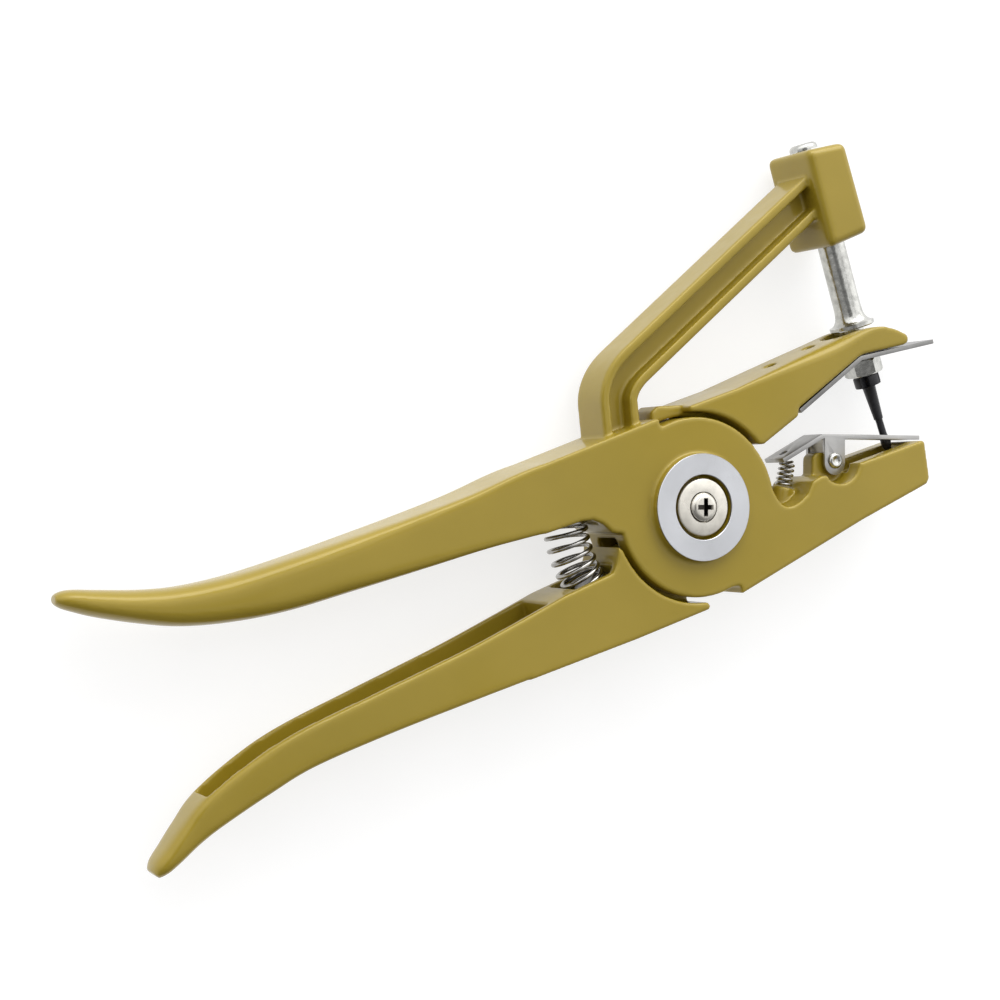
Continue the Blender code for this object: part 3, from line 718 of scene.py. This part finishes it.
def cast_frame():
    """Upper handle, arm, plunger head, pivot cheeks and lower jaw."""
    made = thing("cast_frame", prism(handle_root_and_lower_jaw(), -BODY_HALF, BODY_HALF))
    boss = RING_FACE - RING_T - 0.1
    bar = prism(offset_strip(arm_line(), 2 * ARM_H), -ARM_HALF, ARM_HALF)
    arm = bevelled(thing("arm", bar), 1.2, 3, 60)
    carve(arm, "DIFFERENCE", [arm_groove(1), arm_groove(-1)])
    block = prism([on_rod(*corner) for corner in HEAD_CORNERS], -HEAD_HALF, HEAD_HALF)
    head = bevelled(thing("head", block), 1.9, 4)
    seat_foot = (*CLIP_SPRING[0], 0)
    seat_axis = Vector((*CLIP_SPRING[1], 0)) - Vector(seat_foot)
    solids = [
        loft(UPPER_HANDLE),
        arm,
        head,
        drum(RING_R, -boss, boss),
        prism(LUG, -LUG_HALF, LUG_HALF),
        turned([(CLIP_SEAT_R, -8), (CLIP_SEAT_R, -0.6)], seat_foot, seat_axis),
    ]
    carve(made, "UNION", solids)
    cuts = [
        drum(HUB_R + 1, -SLOT_HALF, SLOT_HALF),
        *tongue_room(SLOT_HALF, SWING),
        pocket(*UPPER_POCKET),
        prism(TAG_WELL, -TAG_WELL_HALF, TAG_WELL_HALF),
        drum(BARREL_R + RUNNING_GAP, -THROUGH, THROUGH),
        drum(RECESS_R, CAP_SEAT - RUNNING_GAP, THROUGH),
        drum(RECESS_R, -THROUGH, RUNNING_GAP - CAP_SEAT),
    ]
    carve(made, "DIFFERENCE", cuts)
    return cast(made)


# ---------- lever casting ----------


def upper_jaw():
    """The jaw's outline, from the disc along its underside to the tip and back along its top."""
    return (
        [(20.9, 17.1), (31.9, 24.8), (32.3, 27.1), (51.9, 41.5), (54.0, 42.6), (59.1, 43.75), (67.9, 45.7)]
        + [(68.9, 46.4), (69.2, 47.2), (68.7, 48.6), (65.0, 49.9), (61.0, 50.6), (57.4, 50.3), (53.5, 49.3)]
        + [(46.0, 46.4), (32.4, 40.7), (12.7, 32.2), (-2.8, 26.9)]
        + arc(LEVER_ARC_R, 95.5, 41.5)
    )


def lower_handle_head():
    """The outline of the block between the lower handle and the disc."""
    return (
        [(-50, -44.2), (-19.1, -34.8), (3.3, -27.4), (3.9, -26.6)]
        + arc(LEVER_ARC_R, 277, 206.5)
        + [(-24.4, -10.3), (-24.4, -11.7), (-24.9, -14.8), (-26, -17.2), (-40.2, -22.8)]
        + [(-50, -27.6)]
    )


# Places along the upper jaw's top edge: x, y and how deep the wide rounding is there
JAW_EDGE = [
    (10.0, 31.1, 0.02),
    (20.0, 35.4, 1.2),
    (32.4, 40.7, 2.4),
    (45.0, 46.0, 3.4),
    (52.6, 49.0, 2.2),
    (57.4, 50.3, 0.9),
    (61.0, 50.6, 0.3),
]


def jaw_edge_cut(side):
    """What the wide rounding takes off one top edge of the upper jaw."""
    beyond = 2
    rings = []
    for x, top, deep in smooth(JAW_EDGE, 5):
        low, inner = top - deep, BODY_HALF - deep
        corner = [(low + deep * math.cos(a), inner + deep * math.sin(a)) for a in quarter(8)]
        corner += [(low, BODY_HALF + beyond), (top + beyond, BODY_HALF + beyond), (top + beyond, inner)]
        ring = [(x, y, side * z) for y, z in corner]
        rings.append(ring if side < 0 else ring[::-1])
    return skin(rings)


def handle_channel():
    """The trough down the inner side of the lower handle, round in its corners."""
    wall, floor, corner = 2.1, 3.2, 1.6
    rows = smooth(LOWER_HANDLE[4:-1] + [(-41.0, -32.4, 8.4, 9.8, 16.0)], 6)
    rings = []
    for (x, y, height, width, _), along in zip(rows, tangents(rows)):
        w, deep = width - wall, height - floor
        low = [(-deep + corner * (1 - math.cos(a)), w - corner * (1 - math.sin(a))) for a in quarter(4)]
        section = [(u, -z) for u, z in low] + [(height + 5, -w), (height + 5, w)] + low[::-1]
        rings.append([(x - along.y * u, y + along.x * u, z) for u, z in section])
    return skin(rings)


def rod_slot(low, high):
    """The slot the plunger's shank stands in, as solids to cut."""
    n = (SLOT_N[0] + SLOT_W, SLOT_N[1] - SLOT_W)
    rounds = [turned([(SLOT_W, low), (SLOT_W, high)], (*on_rod(c, 0), 0), ROD_UP, 64) for c in n]
    return [box_between(n, (low, high), SLOT_W - 0.01), *rounds]


def plate_direction():
    """Down out of the jaw, square to the press plate's inner length."""
    (ax, ay), (bx, by) = PLATE_PATH[:2]
    return Vector((by - ay, ax - bx, 0)).normalized()


def plate_holes():
    hole = [(PLATE_HOLE_R, -4), (PLATE_HOLE_R, 18)]
    return [turned(hole, (x, y, 0), plate_direction(), 48) for x, y in PLATE_SCREWS]


def cast_lever():
    """Upper jaw, tongue between the cheeks and lower handle."""
    made = thing("cast_lever", prism(upper_jaw(), -BODY_HALF, BODY_HALF))
    tail = [(-11.6, 22.7), *arc(DISC_R + 0.4, 116, 78), (6.0, 29.0), (0.0, 27.6), (-9.6, 27.0), (-11.6, 25.4)]
    solids = [
        prism(tail, -JAW_TAIL_HALF, JAW_TAIL_HALF),
        drum(HUB_R, -TONGUE_HALF, TONGUE_HALF),
        *tongue_room(TONGUE_HALF),
        prism(lower_handle_head(), -BODY_HALF, BODY_HALF),
        loft(LOWER_HANDLE),
    ]
    carve(made, "UNION", solids)
    cuts = [
        drum(BUSH_R + RUNNING_GAP, -THROUGH, THROUGH),
        handle_channel(),
        pocket(*LOWER_POCKET),
        jaw_edge_cut(1),
        jaw_edge_cut(-1),
        *rod_slot(18, 36),
        *plate_holes(),
    ]
    carve(made, "DIFFERENCE", cuts)
    return cast(made)


# ---------- hardware ----------


def cross_recess(origin, axis, radius, depth):
    """Two crossed, tapering bars, sunk in a screw head from its top at origin down along the axis."""
    axis = Vector(axis).normalized()
    origin = Vector(origin)
    e1, e2 = frame_of(axis)
    slimness = 0.27
    bars = []
    for long, short in ((e1, e2), (e2, e1)):
        rings = []
        for h, grow in ((-depth, 0.45), (0.4, 1.1)):
            corners = [(-1, -1), (1, -1), (1, 1), (-1, 1)]
            ring = [long * x * radius * grow + short * y * radius * slimness for x, y in corners]
            if long.cross(short).dot(axis) < 0:
                ring.reverse()
            rings.append([tuple(origin + p + axis * h) for p in ring])
        bars.append(skin(rings))
    return bars


def dome(radius, height, low, steps=6):
    """Profile rows of a pan head: straight side, then a rounded top, ending at height 0."""
    rows = [(radius, low)]
    for a in quarter(steps):
        rows.append((radius - height + height * math.cos(a), -height + height * math.sin(a)))
    return rows


def screw(name, top, axis, size, length):
    """A cross-head pan screw of one of the sizes above, from its top down along the axis."""
    head_r, head_h, shank_r = size
    profile = [(shank_r, -head_h - length), (shank_r, -head_h)] + dome(head_r, head_h * 0.75, -head_h)
    made = thing(name, turned(profile, top, axis))
    return carve(made, "DIFFERENCE", cross_recess(top, axis, head_r * 0.6, head_h * 1.15))


def wear_ring(name, low, high):
    """A flat ring between two heights, its outer edges broken."""
    edge, over, sides = 0.12, 5, 160
    rim = [(RING_R - edge, low), (RING_R, low + edge), (RING_R, high - edge), (RING_R - edge, high)]
    made = thing(name, turned(rim, (0, 0, 0), ACROSS, sides))
    bore = [(RECESS_R, low - over), (RECESS_R, high - edge)]
    bore += [(RECESS_R + edge, high), (RECESS_R + edge, high + over)]
    return carve(made, "DIFFERENCE", [turned(bore, (0, 0, 0), ACROSS, sides)])


def pivot_hardware(plate, screw_plate, metal):
    """Both wear rings, the countersunk cap with its screw, and the barrel nut it goes into."""
    axis_foot = (0, 0, 0)
    for side, sign in (("front", 1), ("rear", -1)):
        low, high = sorted((sign * (RING_FACE - RING_T), sign * RING_FACE))
        made = wear_ring(f"{side}_ring_faced", low, high)
        finish_piece(made, "frame", "turned_aluminium", metal, f"{side}_wear_ring", sharp=30)
    cap = [(CAP_R, CAP_SEAT), (CAP_R, CAP_TOP - 0.4), (CAP_R - 0.15, CAP_TOP - 0.15), (CAP_R - 0.5, CAP_TOP)]
    made = thing("pivot_cap_disc", turned(cap, axis_foot, ACROSS))
    sink = [(2.3, 0), (2.3, 11), (4.2, 11.001), (4.2, 13)]
    carve(made, "DIFFERENCE", [turned(sink, axis_foot, ACROSS)])
    finish_piece(made, "frame", "nickel_plate", plate, "pivot_cap", sharp=30)
    made = screw("pivot_screw_head", (0, 0, PIVOT_SCREW_TOP), ACROSS, PIVOT_SCREW, 11.5)
    finish_piece(made, "frame", "nickel_plate", screw_plate, "pivot_screw", sharp=30)
    head = [(CAP_R - 0.4, -RING_FACE), (CAP_R, -RING_FACE + 0.4), (CAP_R, -CAP_SEAT)]
    barrel = head + [(BARREL_R, -CAP_SEAT + 0.001), (BARREL_R, CAP_SEAT - 1.2)]
    made = thing("pivot_barrel_turned", turned(barrel, axis_foot, ACROSS))
    finish_piece(made, "frame", "nickel_plate", plate, "pivot_barrel", sharp=30)


def rod_profile():
    """The plunger rod from its shank up: a collar that flares out of it, then the rod itself."""
    drop = COLLAR_R - ROD_R - 0.1
    flare = [(COLLAR_R - drop * math.sin(a), 32.2 + 3.6 * (1 - math.cos(a))) for a in quarter(8)]
    foot = [(SHANK_R, SHANK_FOOT), (SHANK_R, COLLAR_FOOT), (COLLAR_R - 0.3, COLLAR_FOOT)]
    collar = [(COLLAR_R, COLLAR_FOOT + 0.3), (COLLAR_R, COLLAR_FOOT + 1.0)]
    return foot + collar + flare + [(ROD_R, 37.0), (ROD_R, ROD_TOP)]


def lock_nut(foot):
    """A hexagon with its corners turned off at both ends."""
    low, high = NUT_S
    bevel_r, bevel_s = 0.75, 0.55
    made = thing("lock_nut_hexagon", turned([(NUT_R, low), (NUT_R, high)], foot, ROD_UP, 6))
    trim = [(NUT_R - bevel_r, low - 0.1), (NUT_R + 0.1, low + bevel_s)]
    trim += [(NUT_R + 0.1, high - bevel_s), (NUT_R - bevel_r, high + 0.1)]
    carve(made, "INTERSECT", [turned(trim, foot, ROD_UP)])
    bore = SHANK_R + 0.15
    return carve(made, "DIFFERENCE", [turned([(bore, 10), (bore, 30)], foot, ROD_UP)])


# The needle's profile from its tip: point, waist, tapering body and the head that is cut to a cross
NEEDLE = [
    *[(0.3, -6.2), (0.7, -5.8), (1.1, -5.1), (1.4, -4.2), (1.48, -3.2), (1.4, -2.3), (1.1, -1.3)],
    *[(1.03, -0.6), (1.03, 3.5), (1.1, 3.7), (1.3, 3.85), (1.6, 9.0), (1.85, 13.3), (2.3, 13.9)],
    *[(3.6, 13.9), (3.75, 14.3), (3.75, 16.6), (3.6, 17.0)],
]
CROSS_ARM_HALF = 1.6
CROSS_S = (13.95, 18.0)


def plunger(bright, black):
    """Rod, screw in the head block, lock nut and needle."""
    foot = (*on_rod(ROD_N, 0), 0)
    made = thing("plunger_turned", turned(rod_profile(), foot, ROD_UP))
    finish_piece(made, "frame", "nickel_plate", bright, "plunger_rod", sharp=35)
    made = screw("head_screw", (*on_rod(*CLAMP_SCREW_AT), 0), ROD_UP, CLAMP_SCREW, 10)
    finish_piece(made, "frame", "nickel_plate", bright, "rod_clamp_screw", sharp=30)
    finish_piece(lock_nut(foot), "frame", "nickel_plate", bright, "pin_lock_nut", sharp=30)
    made = thing("needle_turned", turned(NEEDLE, pin_foot(), PIN_UP))
    carve(made, "DIFFERENCE", corner_blocks())
    finish_piece(made, "frame", "black_needle", black, "needle_pin", sharp=35)


def corner_blocks():
    """Four blocks that leave the needle's head as a cross."""
    base = pin_foot()
    e1, e2 = frame_of(PIN_UP)
    near, far = CROSS_ARM_HALF, 6.0
    cuts = []
    for x, y in ((1, 1), (-1, 1), (-1, -1), (1, -1)):
        corners = [(near, near), (far, near), (far, far), (near, far)]
        ring = [e1 * x * a + e2 * y * b for a, b in corners]
        if x * y < 0:
            ring.reverse()
        cuts.append(skin([[tuple(base + p + PIN_UP * h) for p in ring] for h in CROSS_S]))
    return cuts


def press_plate(steel, bright):
    """The bent plate under the upper jaw and its two screws, whose heads are on its underside."""
    path = rounded_path(PLATE_PATH, BEND_R)
    made = thing("press_plate_bent", prism(offset_strip(path, PLATE_T), -PLATE_HALF, PLATE_HALF))
    carve(made, "DIFFERENCE", [*rod_slot(10, 30), *plate_holes()])
    bevelled(made, SHEET_EDGE)
    finish_piece(made, "lever", "sheet_steel", steel, "press_plate", sharp=30)
    down = plate_direction()
    start = Vector((*PLATE_PATH[0], 0))
    head_h = PLATE_SCREW[1]
    for number, (x, y) in enumerate(PLATE_SCREWS, 1):
        sunk = Vector((x, y, 0))
        reach = (start - sunk).dot(down) + PLATE_T / 2 + 0.1
        made = screw(f"plate_fixing_{number}", sunk + down * (reach + head_h), down, PLATE_SCREW, reach - 1.6)
        finish_piece(made, "lever", "nickel_plate", bright, f"plate_screw_{number}", sharp=30)


def clip(steel, bright):
    """The bent sheet clip with its two rivet ears, and the rivet."""
    path = rounded_path(CLIP_PATH, BEND_R)
    made = thing("tag_clip_bent", prism(offset_strip(path, CLIP_T), -CLIP_HALF, CLIP_HALF))
    x, y = RIVET
    flat_y = CLIP_PATH[1][1]
    ear = arc(EAR_R, 180, 360, (x, y - EAR_DROP), 6)
    ear += [(x + EAR_R, flat_y - 1.1), (x + EAR_R + 0.6, flat_y), (x - EAR_R, flat_y)]
    inner = CLIP_HALF - EAR_T
    for sign in (1, -1):
        low, high = sorted((sign * inner, sign * CLIP_HALF))
        carve(made, "UNION", [prism(ear, low, high)])
    hole_x = (pin_foot() + PIN_UP * CLIP_HOLE_S).x
    holes = [
        turned([(CLIP_HOLE_R, -6), (CLIP_HOLE_R, 6)], (hole_x, flat_y, 0), PIN_UP, 64),
        turned([(CLIP_TAIL_HOLE_R, -3), (CLIP_TAIL_HOLE_R, 3)], (*CLIP_TAIL_HOLE, 0), CLIP_TAIL_UP, 48),
        drum(RIVET_HOLE_R, -9, 9, x, y, 48),
    ]
    carve(made, "DIFFERENCE", holes)
    bevelled(made, SHEET_EDGE)
    finish_piece(made, "clip", "sheet_steel", steel, "tag_clip", sharp=30)
    finish_piece(rivet(x, y), "frame", "nickel_plate", bright, "clip_rivet", sharp=35)


def rivet(x, y):
    """A rivet with a rounded, dimpled head on both ears."""
    end = CLIP_HALF + 0.1
    half = [(0.35, end + 0.35), (0.8, end + 0.5), (1.15, end + 0.8), (1.6, end + 0.85), (2.0, end + 0.6)]
    half += [(2.25, end + 0.2), (2.25, end), (1.2, end - 0.001)]
    profile = [(r, -h) for r, h in half] + half[::-1]
    return thing("rivet_headed", turned(profile, (x, y, 0), ACROSS, 64))


def spring_end(x, y):
    """A place in the middle plane, in metres, at an end of a spring."""
    return (x * MM, y * MM, LIFT * MM)


def main_spring(wire):
    """An arc of coils about the pivot, whose ends are wound a little closer."""
    first, last = SPRING_ARC
    inset, bunching = 1.2, 0.06
    count = SPRING_TURNS * 40
    points = []
    for i in range(count + 1):
        t = i / count
        turn = 2 * math.pi * SPRING_TURNS * t
        eased = t - bunching * math.sin(2 * math.pi * t)
        r = SPRING_R + SPRING_COIL_R * math.cos(turn)
        x, y = polar(r, first + inset + (last - first - 2 * inset) * eased)
        points.append((x, y, -SPRING_COIL_R * math.sin(turn)))
    made = thing("main_spring_coil", tube(points, SPRING_WIRE_R))
    start, end = [spring_end(*polar(SPRING_R, a)) for a in SPRING_HOLD]
    finish_piece(made, ("frame", "lever", start, end), "spring_wire", wire, "main_spring")


def clip_spring(wire):
    """A straight spring under the clip's tail, a little narrower at its top."""
    (ax, ay), (bx, by) = CLIP_SPRING
    wide, narrow = CLIP_SPRING_R
    count = CLIP_SPRING_TURNS * 36
    points = []
    for i in range(count + 1):
        t = i / count
        turn = 2 * math.pi * CLIP_SPRING_TURNS * t
        r = wide + (narrow - wide) * t
        points.append((ax + (bx - ax) * t + r * math.cos(turn), ay + (by - ay) * t, r * math.sin(turn)))
    made = thing("clip_spring_coil", tube(points, CLIP_WIRE_R))
    blend = ("frame", "clip", spring_end(ax, ay), spring_end(bx, by))
    finish_piece(made, blend, "spring_wire", wire, "clip_spring")


# ---------- stage ----------

# The lens looks down on the lying tool, turned towards the handles, at a point of the front ring's plane
# that is VIEW_ALONG the picture's width and VIEW_UP from the pivot axis, in metres
VIEW_TURN = math.radians(26.0)
VIEW_DISTANCE = 0.5354
VIEW_ALONG = -0.05423
VIEW_UP = 0.001925
LENS = 72.6
FLOOR_HALF = 12.0
FLOOR_DROP = 0.0002
FLOOR_GLOW = 0.74
TENT_TOP = (0.14, 1.0, 0.1)
TENT_STRENGTH = 2.15


def camera():
    """A short telephoto lens, square to the tool's length and turned towards the handles."""
    data = bpy.data.cameras.new("camera")
    data.lens = LENS
    data.sensor_width = 36
    data.clip_start = 0.01
    made = bpy.data.objects.new("camera", data)
    bpy.context.scene.collection.objects.link(made)
    right = Vector((math.cos(VIEW_TURN), 0, math.sin(VIEW_TURN)))
    forward = Vector((math.sin(VIEW_TURN), 0, -math.cos(VIEW_TURN)))
    face_middle = Vector((0, 0, RING_FACE + LIFT)) * MM
    made.location = face_middle + right * VIEW_ALONG - forward * VIEW_DISTANCE
    made.location.y = VIEW_UP
    made.rotation_euler = Matrix((right, (0, 1, 0), -forward)).transposed().to_euler()
    bpy.context.scene.camera = made


def softbox(name, location, target, size, power):
    data = bpy.data.lights.new(name, "AREA")
    data.shape = "RECTANGLE"
    data.size, data.size_y = size
    data.energy = power
    made = bpy.data.objects.new(name, data)
    made.location = location
    made.rotation_euler = (Vector(target) - Vector(location)).to_track_quat("-Z", "Y").to_euler()
    bpy.context.scene.collection.objects.link(made)


def stage():
    """A pale, softly glowing table, the tent around it and one soft light from beyond the head."""
    corners = [(x * FLOOR_HALF, y * FLOOR_HALF, 0) for x, y in ((-1, -1), (1, -1), (1, 1), (-1, 1))]
    mesh = bpy.data.meshes.new("floor")
    mesh.from_pydata(corners, [], [(0, 1, 2, 3)])
    floor = bpy.data.objects.new("floor", mesh)
    floor.location.z = -FLOOR_DROP
    bpy.context.scene.collection.objects.link(floor)
    made, tree, shader = new_material("light_table", (0.32, 0.32, 0.32), 0.9, 0.0)
    where = object_coordinates(tree)
    tone = [(0.3, (0.31, 0.31, 0.31)), (0.7, (0.33, 0.33, 0.33))]
    tree.links.new(ramp(tree, noise(tree, where, 40, 2), tone), shader.inputs["Base Color"])
    shader.inputs["Emission Color"].default_value = (1, 1, 1, 1)
    shader.inputs["Emission Strength"].default_value = FLOOR_GLOW
    floor.data.materials.append(made)
    bpy.context.scene.world = studio_world()
    bpy.context.scene.view_settings.view_transform = "Standard"
    softbox("top_light", (0.15, 0.8, 0.45), (0, 0, 0.01), (1.0, 0.5), 4.0)


def facing(tree, direction, axis):
    """How far a direction turns towards an axis: 0 away from it, 1 along it."""
    dot = vector_math(tree, "DOT_PRODUCT", direction, Vector(axis).normalized())
    shift = tree.nodes.new("ShaderNodeMath")
    shift.operation = "MULTIPLY_ADD"
    shift.inputs[1].default_value = 0.5
    shift.inputs[2].default_value = 0.5
    tree.links.new(dot.outputs["Value"], shift.inputs[0])
    return shift.outputs["Value"]


def studio_world():
    """A white tent, brightest beyond the plunger head, with an opening for the lens and panels overhead."""
    world = bpy.data.worlds.new("studio")
    world.use_nodes = True
    tree = world.node_tree
    direction = tree.nodes.new("ShaderNodeTexCoord").outputs["Generated"]
    levels = [(0.0, 0.06), (0.3, 0.18), (0.5, 0.45), (0.75, 0.78), (1.0, 1.0)]
    tent = ramp(tree, facing(tree, direction, TENT_TOP), levels)
    towards_lens = (-math.sin(VIEW_TURN), 0, math.cos(VIEW_TURN))
    opening = ramp(tree, facing(tree, direction, towards_lens), [(0.962, 1.0), (0.985, 0.25)])
    opened = vector_math(tree, "MULTIPLY", tent, opening).outputs["Vector"]
    overhead = ramp(tree, facing(tree, direction, ACROSS), [(0.66, 0.0), (0.74, 1.0)])
    patches = ramp(tree, noise(tree, direction, 4.0, 2), [(0.38, 0.3), (0.46, 1.0)])
    panels = mix(tree, overhead, (1, 1, 1, 1), patches)
    seen = vector_math(tree, "MULTIPLY", opened, panels).outputs["Vector"]
    background = tree.nodes["Background"]
    tree.links.new(seen, background.inputs["Color"])
    background.inputs["Strength"].default_value = TENT_STRENGTH
    return world


def main():
    """Makes every piece and its material, then the lens, table and light."""
    paint = gold_paint()
    metal = turned_aluminium()
    cap_colour = (0.74, 0.71, 0.64)
    cap = nickel("nickel_plate", cap_colour, 0.32, 300, 0.00003, 0.88)
    bright = nickel("bright_nickel", (0.60, 0.60, 0.57), 0.2, 420, 0.00018)
    wire = nickel("spring_wire", (0.46, 0.45, 0.43), 0.2, 600)
    bronze = nickel("bronze_bush", (0.45, 0.28, 0.12), 0.4, 400)
    steel = sheet_steel("sheet_steel", 0.42)
    dull_steel = sheet_steel("dull_sheet_steel", 0.27)
    black = black_finish()
    finish_piece(cast_frame(), "frame", "gold_paint", paint, "frame_casting", sharp=60)
    finish_piece(cast_lever(), "lever", "gold_paint", paint, "lever_casting", sharp=60)
    pivot_hardware(cap, recessed_nickel(cap_colour), metal)
    plunger(bright, black)
    press_plate(dull_steel, bright)
    clip(steel, bright)
    main_spring(wire)
    clip_spring(wire)
    shown = {
        "front_thrust_washer": steel,
        "rear_thrust_washer": steel,
        "spring_stud_upper": steel,
        "spring_stud_lower": steel,
        "pivot_bush": bronze,
    }
    for node, finish in shown.items():
        frame["nodes"][node].data.materials.clear()
        frame["nodes"][node].data.materials.append(finish)
    camera()
    stage()


main()
